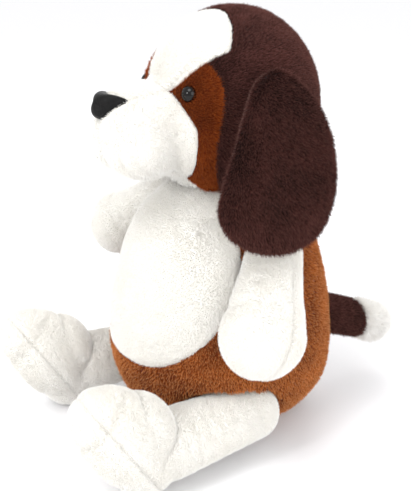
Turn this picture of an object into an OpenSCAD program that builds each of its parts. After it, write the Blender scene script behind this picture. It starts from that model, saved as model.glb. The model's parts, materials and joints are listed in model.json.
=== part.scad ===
// Seated plush dog: sewn pile-fabric covers over stuffing, plastic eyes and nose.
// The dog looks along -Y, +Z is up, +X is the dog's left; the seat rests on z = 0.

/* [Body] */
// widest diameter of the seated body
body_d = 198; // [175:1:225]
// height of the body from the floor to the top of the neck
body_h = 240; // [215:1:265]
// diameter of the flat patch the body sits on
seat_d = 100; // [80:1:118]
// half width of the belly panel seen from the front
belly_w = 84; // [60:1:90]
// height of the lower edge of the belly panel
belly_low = 56; // [45:1:75]

/* [Head] */
// diameter of the head
head_d = 158; // [146:1:168]
// how far the muzzle centre stands in front of the head centre
muzzle_reach = 78; // [66:1:82]
// radius of the muzzle at its front end
muzzle_r = 36; // [32:0.5:38]
// diameter of each eye
eye_d = 12; // [9:0.5:15]
// width of the nose
nose_w = 27; // [22:1:32]

/* [Ears] */
// length of each ear from its root to its tip
ear_len = 139; // [124:1:146]
// greatest width of each ear
ear_w = 98; // [80:1:104]
// how far each ear stands out from straight down (degrees)
ear_out = 21; // [20:0.5:26]
// how far the tip of the left ear hangs behind its root, minus is forward
ear_lean_left = -34; // [-40:1:20]
// how far the tip of the right ear hangs behind its root, minus is forward
ear_lean_right = 15; // [-40:1:20]

/* [Arms] */
// length of each arm from shoulder centre to paw centre
arm_len = 70; // [62:1:86]
// radius of the paw at the end of each arm
paw_r = 32; // [27:0.5:35]
// outward lean of the left arm (degrees)
arm_out_left = 27; // [25:1:50]
// outward lean of the right arm (degrees)
arm_out_right = 50; // [27:1:56]
// forward lean of both arms (degrees)
arm_forward = 28; // [20:1:36]

/* [Legs] */
// distance between the two hip centres
hip_span = 156; // [150:1:170]
// length of each leg from hip centre to heel centre
leg_len = 112; // [96:1:122]
// length of each sole from heel to toe
sole_len = 112; // [98:1:124]

/* [Tail] */
// length of the tail from its root centre to its tip centre
tail_len = 88; // [66:1:106]
// radius of the tail
tail_r = 18; // [14:0.5:20]

/* [Cloth] */
// thickness of the fabric
cloth = 2; // [1.6:0.1:2.6]
// gap between pieces sewn side by side
seam_gap = 0.3; // [0.2:0.05:0.4]
// gap between pieces that move against each other
swing_gap = 0.6; // [0.4:0.1:0.8]

/* [Hidden] */

round_fn = 64;
arc_step = 10;
body_r = body_d / 2;
head_r = head_d / 2;
far = 400;

// body outline as [share of the body radius, share of the body height]
body_outline = [[0.64, 0.022], [0.76, 0.062], [0.865, 0.125], [0.94, 0.195], [0.985, 0.28],
                [1, 0.37], [0.985, 0.47], [0.94, 0.58], [0.87, 0.69], [0.78, 0.79], [0.66, 0.86]];
neck_dome_r = 70;
neck_pivot = [0, 0, body_h - neck_dome_r];
neck_open_r = 30;
wad_t = 4;
wad_r = 36;
socket_r = neck_dome_r + wad_t + 2 * swing_gap;

// head, measured from the neck
head_c = neck_pivot + [0, 8, socket_r + head_r - 30];
muzzle_back = head_c + [0, -44, -13];
muzzle_front = head_c + [0, -muzzle_reach, -14];
muzzle_back_r = muzzle_r + 4;
blaze_back = head_c[1] - 16;
chin_w = 50;

// arms
shoulder = [body_r * 0.93, -4, body_h * 0.79];
shoulder_r = 22;

// legs
hip = [hip_span / 2, -13, 42];
hip_r = 25;
heel_r = 34;
toe_r = 31;
toe_tilt = 43;
heel = [hip_span / 2 + 7, hip[1] - leg_len, heel_r + 1];
foot_len = sole_len - heel_r - toe_r;
sole_depth = 24;

// tail
tail_root = [0, body_r + 3, body_h * 0.335];
tail_drop = 21;
sleeve_share = 0.74;

// eyes and nose
eye_turn = 33.5;
eye_rise = 13.5;
shank_r = 2.5;
shank_len = 12;
washer_r = 8;
washer_t = 2;
nose_c = muzzle_front + [0, -muzzle_r * 0.81, muzzle_r * 0.56];
nose_tilt = 30;

// pellets
pouch_r = 46;
pouch_h = 30;
pouch_z = 7;

// ---------- helpers ----------

// one turned solid: a rounded end of radius ra at a, widening to a rounded end rb at b
module drumstick(a, ra, b, rb, grow = 0) {
    d = b - a;
    len = norm(d);
    lean = asin((rb - ra) / len);
    turn = atan2(d[1], d[0]);
    tip = acos(d[2] / len);
    qa = ra + grow;
    qb = rb + grow;
    low = [for (t = [-90:arc_step:-lean - 1]) [qa * cos(t), qa * sin(t)]];
    high = [for (t = [90:-arc_step:-lean + 1]) [qb * cos(t), len + qb * sin(t)]];
    waist = [[qa * cos(lean), -qa * sin(lean)], [qb * cos(lean), len - qb * sin(lean)]];
    back = [for (i = [len(high) - 1:-1:0]) high[i]];
    translate(a)
        rotate([0, tip, turn])
            rotate_extrude($fn = round_fn)
                polygon(concat(low, waist, back));
}

module mirror_if(flip) {
    mirror([flip ? 1 : 0, 0, 0]) children();
}

// ---------- body ----------

module body_form(inset = 0) {
    dome = neck_dome_r - inset;
    rotate_extrude($fn = round_fn)
        polygon(concat([[0, inset], [seat_d / 2 - inset, inset]],
                       [for (p = body_outline) [p[0] * body_r - inset, p[1] * body_h]],
                       [for (t = [36:9:90]) [dome * cos(t), neck_pivot[2] + dome * sin(t)]]));
}

// the dish each arm sweeps as it swings about the cross axis of its shoulder
module arm_sweep(grow) {
    near = shoulder_r + grow;
    reach = arm_len * cos(arm_out_left);
    dish_out = arm_len * sin(arm_out_left) - paw_r - grow;
    translate(shoulder)
        rotate([0, 90, 0])
            rotate_extrude($fn = round_fn)
                polygon([[0, -near], [near * 0.75, -near], [near * 1.1, -near * 0.92],
                         [reach, dish_out - paw_r * 0.09], [reach + paw_r * 0.45, dish_out + paw_r * 0.05],
                         [reach + paw_r * 0.75, dish_out + paw_r * 0.32],
                         [reach + paw_r * 0.75, body_r], [0, body_r]]);
}

// the leg's bed in the body, wider towards the foot so the leg can lean in a little
module leg_room(grow) {
    drumstick(hip, hip_r, heel + [0, 0, -4], hip_r + 7, grow);
}

module body_cuts(grow = swing_gap) {
    for (flip = [false, true])
        mirror_if(flip) {
            arm_sweep(grow);
            leg_room(grow);
        }
    translate(tail_root)
        sphere(r = tail_r + grow, $fn = round_fn);
}

module belly_window(grow = 0) {
    tall = body_h - belly_low;
    rotate([90, 0, 0])
        linear_extrude(height = far)
            polygon([for (a = [0:15:345])
                [(belly_w + grow) * cos(a) * (1 - 0.10 * sin(a)),
                 belly_low + tall * 0.5 + (tall * 0.5 + grow) * sin(a)]]);
}

module base_window(grow = 0) {
    translate([0, 0, -1])
        cylinder(h = body_outline[1][1] * body_h + 1 + grow, r = body_outline[1][0] * body_r + 1,
                 $fn = round_fn);
}

module body_skin() {
    difference() {
        body_form();
        body_form(cloth);
        body_cuts();
        translate([0, 0, body_h - neck_dome_r])
            cylinder(h = far, r = neck_open_r, $fn = round_fn);
    }
}

module torso_back_cover() {
    color([0.62, 0.33, 0.13])
        difference() {
            body_skin();
            belly_window(seam_gap);
            base_window(seam_gap);
        }
}

module belly_panel() {
    color([0.95, 0.94, 0.91])
        difference() {
            intersection() {
                body_skin();
                belly_window();
            }
            base_window(seam_gap);
        }
}

module base_panel() {
    color([0.56, 0.30, 0.12])
        intersection() {
            body_skin();
            base_window();
        }
}

module pouch_form(inset = 0) {
    translate([0, 0, pouch_z + inset])
        cylinder(h = pouch_h - 2 * inset, r = pouch_r - inset, $fn = round_fn);
}

module torso_stuffing() {
    color([0.92, 0.92, 0.90])
        difference() {
            body_form(cloth + seam_gap);
            body_cuts(swing_gap + cloth);
            pouch_form(-seam_gap);
        }
}

module pellet_pouch() {
    color([0.85, 0.85, 0.82])
        difference() {
            pouch_form();
            pouch_form(1);
        }
}

module pellets() {
    color([0.97, 0.97, 0.97])
        pouch_form(1 + seam_gap);
}

module neck_wadding() {
    color([0.90, 0.90, 0.88])
        translate(neck_pivot)
            intersection() {
                difference() {
                    sphere(r = neck_dome_r + swing_gap + wad_t, $fn = round_fn);
                    sphere(r = neck_dome_r + swing_gap, $fn = round_fn);
                }
                cylinder(h = far, r = wad_r, $fn = round_fn);
            }
}

// ---------- head ----------

module muzzle_form(inset = 0) {
    drumstick(muzzle_back, muzzle_back_r, muzzle_front, muzzle_r, -inset);
}

module skull_form(inset = 0) {
    translate(head_c)
        sphere(r = head_r - inset, $fn = round_fn);
}

// the ear roots lie in shallow grooves; the neck sits in a round socket
ear_root = head_c + [head_r * 0.945, 6, head_r * 0.42];
ear_root_r = 6;
ear_root_len = 40;

module head_cuts(grow = swing_gap) {
    translate(neck_pivot)
        sphere(r = socket_r + grow - swing_gap, $fn = round_fn);
    for (flip = [false, true])
        mirror_if(flip)
            translate(ear_root)
                rotate([90, 0, 0])
                    cylinder(h = ear_root_len + 2, r = ear_root_r + grow, center = true,
                             $fn = round_fn);
}

module skull_skin() {
    difference() {
        skull_form();
        skull_form(cloth);
        muzzle_form(-seam_gap);
        head_cuts();
    }
}

module blaze_window(grow = 0) {
    outline = [[13, 0], [13, 13], [22, 27], [33, 45], [38, 62], [38, 90]];
    translate([0, blaze_back + grow, head_c[2]])
        rotate([90, 0, 0])
            linear_extrude(height = far)
                polygon(concat([for (p = outline) [p[0] + grow, p[1] - grow]],
                               [for (i = [len(outline) - 1:-1:0])
                                   [-outline[i][0] - grow, outline[i][1] - grow]]));
}

// everything ahead of two upright planes leaning out from the head's middle line
module front_wedge(half_angle, grow = 0) {
    spread = far * tan(half_angle);
    shift = grow / sin(half_angle);
    translate([0, head_c[1] + shift, 0])
        linear_extrude(height = far * 2)
            polygon([[0, 0], [spread, -far], [-spread, -far]]);
}

module patch_room(grow = 0) {
    intersection() {
        front_wedge(55, grow);
        translate([-far / 2, -far, 0])
            cube([far, 2 * far, head_c[2] + 35 + grow]);
    }
}

module chin_room(grow = 0) {
    translate([0, head_c[1] - 62, 0])
        cylinder(h = head_c[2] - 20 + grow, r = chin_w / 2 + grow, $fn = round_fn);
}

module left_half(shift = 0) {
    translate([shift, -far, 0])
        cube([far, 2 * far, 2 * far]);
}

module head_side() {
    color([0.22, 0.14, 0.13])
        difference() {
            intersection() {
                skull_skin();
                left_half(seam_gap / 2);
            }
            blaze_window(seam_gap);
            patch_room(seam_gap);
        }
}

module eye_patch() {
    color([0.45, 0.20, 0.08])
        difference() {
            intersection() {
                skull_skin();
                patch_room();
                left_half(seam_gap);
            }
            blaze_window(seam_gap);
            chin_room(seam_gap);
            eye_place()
                cylinder(h = 3 * shank_len, r = shank_r + seam_gap, center = true,
                         $fn = round_fn);
        }
}

module head_side_left() {
    head_side();
}

module head_side_right() {
    mirror([1, 0, 0]) head_side();
}

module eye_patch_left() {
    eye_patch();
}

module eye_patch_right() {
    mirror([1, 0, 0]) eye_patch();
}

module blaze_panel() {
    color([0.96, 0.95, 0.92])
        intersection() {
            skull_skin();
            blaze_window();
        }
}

module chin_panel() {
    color([0.95, 0.94, 0.91])
        intersection() {
            skull_skin();
            chin_room();
        }
}

module muzzle_cover() {
    color([0.96, 0.95, 0.92])
        difference() {
            muzzle_form();
            muzzle_form(cloth);
            skull_form(cloth);
            head_cuts();
            nose_place()
                cylinder(h = 4 * shank_len, r = shank_r + seam_gap, center = true,
                         $fn = round_fn);
            nose_seat(seam_gap);
        }
}

// local +Z points out of the head at the eye
module eye_place() {
    translate(head_c)
        rotate([0, 0, eye_turn])
            rotate([90 - eye_rise, 0, 0])
                translate([0, 0, head_r])
                    children();
}

module nose_place() {
    translate(nose_c)
        rotate([90 - nose_tilt, 0, 0])
            children();
}

module nose_seat(grow = 0) {
    nose_place()
        intersection() {
            translate([0, 0, -nose_w * 0.25])
                sphere(r = nose_w * 0.5 + grow, $fn = round_fn);
            translate([-nose_w, -nose_w * 0.42 - grow, -nose_w])
                cube([2 * nose_w, nose_w * 0.76 + 2 * grow, 2 * nose_w]);
        }
}

module washer_at(depth, grow = 0) {
    translate([0, 0, -depth - washer_t - grow])
        cylinder(h = washer_t + 2 * grow, r = washer_r + grow, $fn = round_fn);
}

module eye() {
    color([0.02, 0.02, 0.02])
        eye_place() {
            difference() {
                translate([0, 0, seam_gap])
                    sphere(r = eye_d / 2, $fn = round_fn);
                translate([-eye_d, -eye_d, -2 * eye_d + seam_gap])
                    cube(2 * eye_d);
            }
            translate([0, 0, -shank_len])
                cylinder(h = shank_len + 1, r = shank_r, $fn = round_fn);
        }
}

module eye_left() {
    eye();
}

module eye_right() {
    mirror([1, 0, 0]) eye();
}

module eye_washer() {
    color([0.90, 0.90, 0.88])
        eye_place()
            difference() {
                washer_at(cloth + seam_gap + 1);
                translate([0, 0, -2 * shank_len])
                    cylinder(h = 3 * shank_len, r = shank_r + seam_gap, $fn = round_fn);
            }
}

module eye_washer_left() {
    eye_washer();
}

module eye_washer_right() {
    mirror([1, 0, 0]) eye_washer();
}

module nose() {
    color([0.03, 0.03, 0.03]) {
        nose_seat();
        nose_place()
            translate([0, 0, -nose_w * 0.6 - shank_len])
                cylinder(h = shank_len + nose_w * 0.4, r = shank_r, $fn = round_fn);
    }
}

module nose_washer() {
    color([0.90, 0.90, 0.88])
        nose_place()
            difference() {
                washer_at(nose_w * 0.75 + 2);
                translate([0, 0, -3 * shank_len])
                    cylinder(h = 4 * shank_len, r = shank_r + seam_gap, $fn = round_fn);
            }
}

module head_stuffing() {
    color([0.92, 0.92, 0.90])
        difference() {
            union() {
                skull_form(cloth + seam_gap);
                muzzle_form(cloth + seam_gap);
            }
            head_cuts(swing_gap + cloth);
            for (flip = [false, true])
                mirror_if(flip)
                    eye_place() {
                        washer_at(cloth + seam_gap + 1, seam_gap);
                        translate([0, 0, -shank_len - 1])
                            cylinder(h = 2 * shank_len, r = shank_r + seam_gap, $fn = round_fn);
                    }
            nose_place() {
                washer_at(nose_w * 0.75 + 2, seam_gap);
                translate([0, 0, -nose_w * 0.6 - shank_len - 1])
                    cylinder(h = 3 * shank_len, r = shank_r + seam_gap, $fn = round_fn);
            }
            nose_seat(seam_gap);
        }
}

// ---------- ears ----------

ear_layers = [-2, 1, 9, 12];

function ear_edge(lean, inset) = [for (a = [0:12:348])
    let (t = (1 - cos(a)) / 2)
    [lean * t + (ear_w / 2 - inset) * sin(a) * (0.74 + 0.30 * t),
     -inset - (ear_len - 2 * inset) * t]];

module ear_slab(lean, from, to, inset = 0) {
    translate(ear_root)
        rotate([0, -ear_out, 0])
            translate([to, 0, 0])
                rotate([90, 0, -90])
                    linear_extrude(height = to - from)
                        mirror([1, 0, 0])
                            polygon(ear_edge(lean, inset));
}

module ear_outer(lean) {
    color([0.24, 0.15, 0.14]) {
        ear_slab(lean, ear_layers[2], ear_layers[3]);
        translate(ear_root)
            rotate([90, 0, 0])
                cylinder(h = ear_root_len, r = ear_root_r, center = true, $fn = round_fn);
        translate(ear_root)
            rotate([0, -ear_out, 0])
                translate([0, -ear_root_len / 2 + 4, -8])
                    cube([ear_layers[3], ear_root_len - 8, 8]);
    }
}

module ear_lining(lean) {
    color([0.42, 0.30, 0.28])
        difference() {
            ear_slab(lean, ear_layers[0], ear_layers[1] - seam_gap);
            ear_root_room();
        }
}

module ear_wadding(lean) {
    color([0.92, 0.92, 0.90])
        difference() {
            ear_slab(lean, ear_layers[1], ear_layers[2] - seam_gap, cloth);
            ear_root_room();
        }
}

module ear_root_room() {
    translate(ear_root)
        rotate([0, -ear_out, 0])
            translate([-ear_layers[3], -ear_w, -8 - seam_gap])
                cube([3 * ear_layers[3], 2 * ear_w, 3 * ear_layers[3]]);
}

module ear_outer_left() {
    ear_outer(ear_lean_left);
}

module ear_outer_right() {
    mirror([1, 0, 0]) ear_outer(ear_lean_right);
}

module ear_lining_left() {
    ear_lining(ear_lean_left);
}

module ear_lining_right() {
    mirror([1, 0, 0]) ear_lining(ear_lean_right);
}

module ear_wadding_left() {
    ear_wadding(ear_lean_left);
}

module ear_wadding_right() {
    mirror([1, 0, 0]) ear_wadding(ear_lean_right);
}

// ---------- arms ----------

module arm_form(out, inset = 0) {
    paw = shoulder + arm_len * [sin(out), -sin(arm_forward) * cos(out),
                                -cos(arm_forward) * cos(out)];
    drumstick(shoulder, shoulder_r, paw, paw_r, -inset);
}

module arm_cover(out) {
    color([0.95, 0.94, 0.91])
        difference() {
            arm_form(out);
            arm_form(out, cloth);
            translate(shoulder)
                rotate([0, -90, 0])
                    cylinder(h = far, r = shoulder_r / 2, $fn = round_fn);
        }
}

module arm_stuffing(out) {
    color([0.92, 0.92, 0.90])
        arm_form(out, cloth + seam_gap);
}

module arm_cover_left() {
    arm_cover(arm_out_left);
}

module arm_cover_right() {
    mirror([1, 0, 0]) arm_cover(arm_out_right);
}

module arm_stuffing_left() {
    arm_stuffing(arm_out_left);
}

module arm_stuffing_right() {
    mirror([1, 0, 0]) arm_stuffing(arm_out_right);
}

// ---------- legs ----------

module leg_form(inset = 0) {
    toe = heel + foot_len * [0, -cos(toe_tilt), sin(toe_tilt)];
    drumstick(hip, hip_r, heel + [0, 0, -4], hip_r + 3, -inset);
    drumstick(heel, heel_r, toe, toe_r, -inset);
}

module leg_cover() {
    color([0.95, 0.94, 0.91])
        difference() {
            leg_form();
            leg_form(cloth);
            sole_side(sole_depth - cloth - seam_gap);
            translate(hip)
                rotate([-90, 0, 0])
                    cylinder(h = far, r = hip_r / 2, $fn = round_fn);
        }
}

// the part of a form that lies beyond a plane set out from the heel-toe line
module sole_side(depth) {
    translate(heel)
        rotate([toe_tilt, 0, 0])
            rotate([180, 0, 0])
                translate([-far / 2, -far / 2, depth])
                    cube([far, far, far]);
}

module sole() {
    color([0.94, 0.93, 0.90])
        difference() {
            intersection() {
                leg_form();
                sole_side(sole_depth - cloth);
            }
            sole_side(sole_depth);
        }
}

module leg_stuffing() {
    color([0.92, 0.92, 0.90])
        difference() {
            leg_form(cloth + seam_gap);
            sole_side(sole_depth - cloth - seam_gap);
        }
}

module leg_cover_left() {
    leg_cover();
}

module leg_cover_right() {
    mirror([1, 0, 0]) leg_cover();
}

module sole_left() {
    sole();
}

module sole_right() {
    mirror([1, 0, 0]) sole();
}

module leg_stuffing_left() {
    leg_stuffing();
}

module leg_stuffing_right() {
    mirror([1, 0, 0]) leg_stuffing();
}

// ---------- tail ----------

module tail_form(inset = 0) {
    tip = tail_root + tail_len * [0, cos(tail_drop), -sin(tail_drop)];
    drumstick(tail_root, tail_r, tip, tail_r - 1, -inset);
}

module tail_cut(start) {
    translate(tail_root)
        rotate([-90 - tail_drop, 0, 0])
            translate([-far / 2, -far / 2, start])
                cube(far);
}

module tail_sleeve() {
    color([0.20, 0.13, 0.12])
        difference() {
            tail_form();
            tail_form(cloth);
            tail_cut(tail_len * sleeve_share);
            translate(tail_root)
                rotate([90, 0, 0])
                    cylinder(h = far, r = tail_r / 2, $fn = round_fn);
        }
}

module tail_tip() {
    color([0.95, 0.94, 0.92])
        intersection() {
            difference() {
                tail_form();
                tail_form(cloth);
            }
            tail_cut(tail_len * sleeve_share + seam_gap);
        }
}

module tail_stuffing() {
    color([0.92, 0.92, 0.90])
        tail_form(cloth + seam_gap);
}

torso_back_cover();
belly_panel();
base_panel();
torso_stuffing();
pellet_pouch();
pellets();
neck_wadding();
head_side_left();
head_side_right();
blaze_panel();
chin_panel();
eye_patch_left();
eye_patch_right();
muzzle_cover();
head_stuffing();
eye_left();
eye_right();
eye_washer_left();
eye_washer_right();
nose();
nose_washer();
ear_outer_left();
ear_outer_right();
ear_lining_left();
ear_lining_right();
ear_wadding_left();
ear_wadding_right();
arm_cover_left();
arm_cover_right();
arm_stuffing_left();
arm_stuffing_right();
leg_cover_left();
leg_cover_right();
sole_left();
sole_right();
leg_stuffing_left();
leg_stuffing_right();
tail_sleeve();
tail_tip();
tail_stuffing();
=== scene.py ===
# %% [markdown]
# A seated plush dog, built piece by piece the way it is sewn: padded bodies, cut into the
# fabric panels a maker would cut, each panel covered with its own pile of short fibres.
# Sizes are in millimetres while shapes are being made and turn into metres in the mesh.

# %% Open the frame
import json
import math

import bpy
import bmesh
import numpy as np
from mathutils import Matrix, Vector


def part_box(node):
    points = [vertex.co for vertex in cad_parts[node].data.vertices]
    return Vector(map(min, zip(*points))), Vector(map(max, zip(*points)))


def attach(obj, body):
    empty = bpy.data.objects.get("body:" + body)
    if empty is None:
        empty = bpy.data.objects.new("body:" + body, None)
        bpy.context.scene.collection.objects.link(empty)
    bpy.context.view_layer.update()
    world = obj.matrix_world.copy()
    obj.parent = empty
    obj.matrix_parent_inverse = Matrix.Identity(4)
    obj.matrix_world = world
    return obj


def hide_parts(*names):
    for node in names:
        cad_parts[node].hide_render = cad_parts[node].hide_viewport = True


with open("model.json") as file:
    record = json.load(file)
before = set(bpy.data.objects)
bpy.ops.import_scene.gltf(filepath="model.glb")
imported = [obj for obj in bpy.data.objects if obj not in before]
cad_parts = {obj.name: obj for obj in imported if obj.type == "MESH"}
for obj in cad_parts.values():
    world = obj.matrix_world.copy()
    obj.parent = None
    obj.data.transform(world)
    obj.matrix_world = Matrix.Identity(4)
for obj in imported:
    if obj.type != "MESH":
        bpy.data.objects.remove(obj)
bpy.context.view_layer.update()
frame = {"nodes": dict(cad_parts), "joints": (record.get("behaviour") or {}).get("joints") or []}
MM = 0.001
scene = bpy.context.scene
pivot = {j["name"]: np.array(j["pos_m"]) * 1000 for j in frame["joints"]}
print("frame loaded:", len(frame["nodes"]), "nodes")

# %% Landmarks taken from the frame
side_low, side_high = (np.array(v) * 1000 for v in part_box("head_side_left"))
head_r = side_high[0]
head_c = np.array([0.0, side_high[1] - head_r, side_high[2] - head_r])
muzzle_reach = head_c[1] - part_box("muzzle_cover")[0][1] * 1000 - 31
neck = pivot["neck_turn"]
shoulder = pivot["arm_left_swing"]
hip = pivot["leg_left_spread"]
ear_root = pivot["ear_left_flap"]
tail_root = pivot["tail_wag"]
tail_low, tail_high = (np.array(v) * 1000 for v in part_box("tail_tip"))
paw_r = 32.0
paws = {}
for side in ("left", "right"):
    low, high = (np.array(v) * 1000 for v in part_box("arm_cover_" + side))
    reach = high[0] - paw_r if side == "left" else low[0] + paw_r
    paws[side] = np.array([reach, low[1] + paw_r, low[2] + paw_r])
print("head radius", head_r, "head centre", head_c.round(1))

# %% [markdown]
# Materials come first. Every surface is mixed from node noise, so a small class wraps a socket
# and lets the maths read like ordinary arithmetic. It keeps each material short enough to see
# what drives what.

# %% A small language for shader maths
class Wire:
    def __init__(self, tree, socket):
        self.tree, self.socket = tree, socket

    def _math(self, op, other, flip=False):
        node = self.tree.nodes.new("ShaderNodeMath")
        node.operation = op
        pair = (other, self) if flip else (self, other)
        for slot, value in zip(node.inputs, pair):
            plug(self.tree, slot, value)
        return Wire(self.tree, node.outputs[0])

    def __add__(self, o): return self._math("ADD", o)
    def __radd__(self, o): return self._math("ADD", o, True)
    def __sub__(self, o): return self._math("SUBTRACT", o)
    def __rsub__(self, o): return self._math("SUBTRACT", o, True)
    def __mul__(self, o): return self._math("MULTIPLY", o)
    def __rmul__(self, o): return self._math("MULTIPLY", o, True)
    def __truediv__(self, o): return self._math("DIVIDE", o)

    def clamp(self, low=0.0, high=1.0):
        return self._math("MAXIMUM", low)._math("MINIMUM", high)

    def ramp(self, low, high):
        return ((self - low) / (high - low)).clamp()


def plug(tree, slot, value):
    if isinstance(value, Wire):
        tree.links.new(value.socket, slot)
    elif value is not None:
        slot.default_value = value


class Shader:
    def __init__(self, name):
        self.material = bpy.data.materials.new(name)
        self.material.use_nodes = True
        self.tree = self.material.node_tree
        self.tree.nodes.clear()
        self.out = self.tree.nodes.new("ShaderNodeOutputMaterial")

    def add(self, kind, settings=None, inputs=None, output=0):
        node = self.tree.nodes.new(kind)
        for key, value in (settings or {}).items():
            setattr(node, key, value)
        for key, value in (inputs or {}).items():
            plug(self.tree, node.inputs[key], value)
        return Wire(self.tree, node.outputs[output])

    def place(self):
        return self.add("ShaderNodeTexCoord", output="Object")

    def noise(self, scale, detail, rough):
        return self.add("ShaderNodeTexNoise", None, {"Vector": self.place(), "Scale": scale,
                        "Detail": detail, "Roughness": rough}, "Fac")

    def attribute(self, name):
        return self.add("ShaderNodeAttribute", {"attribute_name": name}, None, "Fac")

    def mix(self, share, a, b):
        node = self.tree.nodes.new("ShaderNodeMix")
        node.data_type = "RGBA"
        for key, value in ((0, share), (6, a), (7, b)):
            plug(self.tree, node.inputs[key], value)
        return Wire(self.tree, node.outputs[2])

    def surface(self, **inputs):
        body = self.tree.nodes.new("ShaderNodeBsdfPrincipled")
        for key, value in inputs.items():
            plug(self.tree, body.inputs[key.replace("_", " ")], value)
        self.tree.links.new(body.outputs[0], self.out.inputs[0])
        return self.material


def rgb(r, g, b):
    """A colour given the way a paint chart gives it, 0 to 255, as linear light."""
    return tuple(((c / 255 + 0.055) / 1.055) ** 2.4 if c > 10 else c / 255 / 12.92
                 for c in (r, g, b)) + (1.0,)


# %% [markdown]
# Pile fabric has two parts to paint: the knitted backing that shows between fibres, and the
# fibres. Fibres are painted darker at the root, a painted shade because little light gets down
# there, and the backing's knit takes that root colour too. A patchy noise mixes in darker patches
# of painted shade, a shaded copy of the body colour. Each fibre carries
# "tip" (0 at the root, 1 at the end) and "tone" (one random value per fibre).

# %% Pile and backing materials
TIP_FROM = 0.45     # where along a fibre its pale tip begins
SHEEN = 0.2


def patchy_painted_shade(s, body, patch):
    """The body colour with darker patches of painted shade, a shaded copy of it, mixed in at random.
    """
    return s.mix(s.noise(28.0, 4.0, 0.6).ramp(0.36, 0.66), body, patch)


def pile_material(name, root, body, tip, patch):
    s = Shader(name)
    along = s.attribute("tip")
    tone = s.attribute("tone")
    # painted shade: darker patches of a shaded copy of the body colour
    base = patchy_painted_shade(s, body, patch)
    base = s.mix(along.ramp(0.0, TIP_FROM), root, base)
    base = s.mix(along.ramp(TIP_FROM, 1.0) * (0.35 + 0.5 * tone), base, tip)
    fine = s.noise(900.0, 2.0, 0.5)
    return s.surface(Base_Color=base, Roughness=0.72 + 0.2 * fine, Sheen_Weight=SHEEN,
                     Sheen_Roughness=0.5, Sheen_Tint=tip, Specular_IOR_Level=0.1)


def backing_material(name, root, body, patch):
    s = Shader(name)
    knit = s.noise(1300.0, 3.0, 0.7)
    # painted shade: the knit mixes in the root colour, the shade at the foot of the pile, over
    # patches of painted shade
    base = s.mix(knit.ramp(0.3, 0.7) * 0.8, patchy_painted_shade(s, body, patch), root)
    bump = s.add("ShaderNodeBump", None, {"Strength": 0.6, "Distance": 0.0008,
                                          "Height": knit}, "Normal")
    return s.surface(Base_Color=base, Roughness=0.85 + 0.1 * knit, Sheen_Weight=SHEEN,
                     Specular_IOR_Level=0.1, Normal=bump)


# root is painted shade at the foot of the fibres; patch is painted shade, a darker shaded copy of
# the body colour (for the brown, the fur's shaded colour)
PILES = {
    "white": dict(root=rgb(240, 237, 231), body=rgb(250, 249, 246), tip=rgb(254, 253, 251),
                  patch=rgb(247, 245, 240)),
    "brown": dict(root=rgb(92, 36, 10), body=rgb(182, 100, 44), tip=rgb(236, 178, 122),
                  patch=rgb(118, 48, 16)),
    "rust": dict(root=rgb(70, 26, 8), body=rgb(140, 62, 20), tip=rgb(188, 104, 50),
                 patch=rgb(104, 38, 12)),
    "dark": dict(root=rgb(22, 11, 10), body=rgb(70, 38, 34), tip=rgb(134, 90, 82),
                 patch=rgb(38, 18, 16)),
    "lining": dict(root=rgb(60, 42, 40), body=rgb(104, 78, 72), tip=rgb(150, 120, 112),
                   patch=rgb(88, 62, 58)),
}
pile_mat, back_mat = {}, {}
for key, tint in PILES.items():
    pile_mat[key] = pile_material(key + " pile", **tint)
    back_mat[key] = backing_material(key + " backing", tint["root"], tint["body"], tint["patch"])
print("pile colours:", ", ".join(PILES))


# %% [markdown]
# The eyes are polished plastic domes and the nose a moulded one with a fine leather-like grain.
# Both get a little wear: faint smears that change the gloss, and dust in the grain.

# %% Eye and nose materials
def gloss_black():
    s = Shader("eye plastic")
    smear = s.noise(160.0, 4.0, 0.6)
    deep = s.mix(smear.ramp(0.45, 0.8), rgb(8, 5, 5), rgb(20, 13, 11))
    return s.surface(Base_Color=deep, Roughness=0.05 + 0.04 * smear.ramp(0.5, 0.8),
                     Specular_IOR_Level=0.3)


def nose_black():
    s = Shader("nose plastic")
    grain = s.add("ShaderNodeTexVoronoi", {"feature": "DISTANCE_TO_EDGE"},
                  {"Vector": s.place(), "Scale": 620.0}, "Distance")
    pits = grain.ramp(0.0, 0.12)
    dust = s.noise(240.0, 4.0, 0.6).ramp(0.5, 0.8)
    base = s.mix(dust * 0.4, rgb(9, 8, 8), rgb(34, 31, 31))
    bump = s.add("ShaderNodeBump", None, {"Strength": 0.5, "Distance": 0.0004,
                                          "Height": pits}, "Normal")
    return s.surface(Base_Color=base, Roughness=0.4 + 0.2 * dust, Normal=bump,
                     Specular_IOR_Level=0.18)


eye_mat, nose_mat = gloss_black(), nose_black()

# %% [markdown]
# Every padded body starts as a few overlapping balls and rounded sticks, as a potter starts
# with lumps. A voxel remesh fuses them into one skin and a few passes of smoothing turn the
# creases between lumps into soft fillets, which is what stuffing does behind cloth.

# %% Shapes from balls and sticks
def mesh_object(name, verts, faces):
    mesh = bpy.data.meshes.new(name)
    mesh.from_pydata([tuple(v) for v in np.asarray(verts) * MM], [], faces)
    mesh.update()
    piece = bpy.data.objects.new(name, mesh)
    scene.collection.objects.link(piece)
    return piece


def from_bmesh(name, bm):
    mesh = bpy.data.meshes.new(name)
    bm.to_mesh(mesh)
    bm.free()
    piece = bpy.data.objects.new(name, mesh)
    scene.collection.objects.link(piece)
    return piece


def smooth_shaded(piece):
    piece.data.polygons.foreach_set("use_smooth", [True] * len(piece.data.polygons))


def baked(piece):
    """The piece with its modifiers worked into a plain mesh."""
    graph = bpy.context.evaluated_depsgraph_get()
    mesh = bpy.data.meshes.new_from_object(piece.evaluated_get(graph))
    piece.modifiers.clear()
    old = piece.data
    piece.data = mesh
    if old.users == 0:
        bpy.data.meshes.remove(old)
    return piece


def set_modifier(piece, kind, **settings):
    mod = piece.modifiers.new(kind.lower(), kind)
    for key, value in settings.items():
        setattr(mod, key, value)
    return mod


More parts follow.
